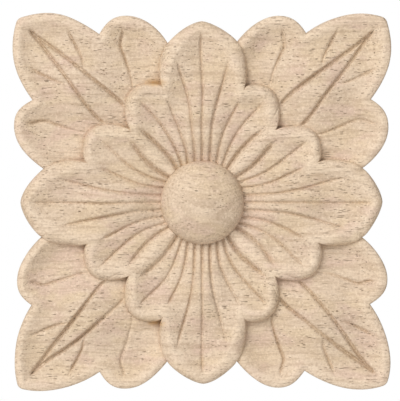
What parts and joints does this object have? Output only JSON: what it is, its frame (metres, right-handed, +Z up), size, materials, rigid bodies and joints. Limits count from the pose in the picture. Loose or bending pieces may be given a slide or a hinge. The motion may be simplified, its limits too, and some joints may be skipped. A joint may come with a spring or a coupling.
{
  "type": "carved wood applique",
  "caption": "Square carved wood rosette applique with a flat back, corner leaves, a fluted flower and a domed button, glued or pinned to furniture or walls.",
  "frame": {"origin": "middle of the flat back", "axes": "upright as it hangs: +Y out of the flat back into the wall, so the carved front faces -Y, +Z up, +X to the right seen from the front"},
  "size_m": [0.1, 0.013, 0.1],
  "materials": {
    "rubberwood": "bare, sanded, pale rubberwood with open pores"
  },
  "bodies": {
    "root": {"carved_applique": "rubberwood"}
  },
  "joints": []
}
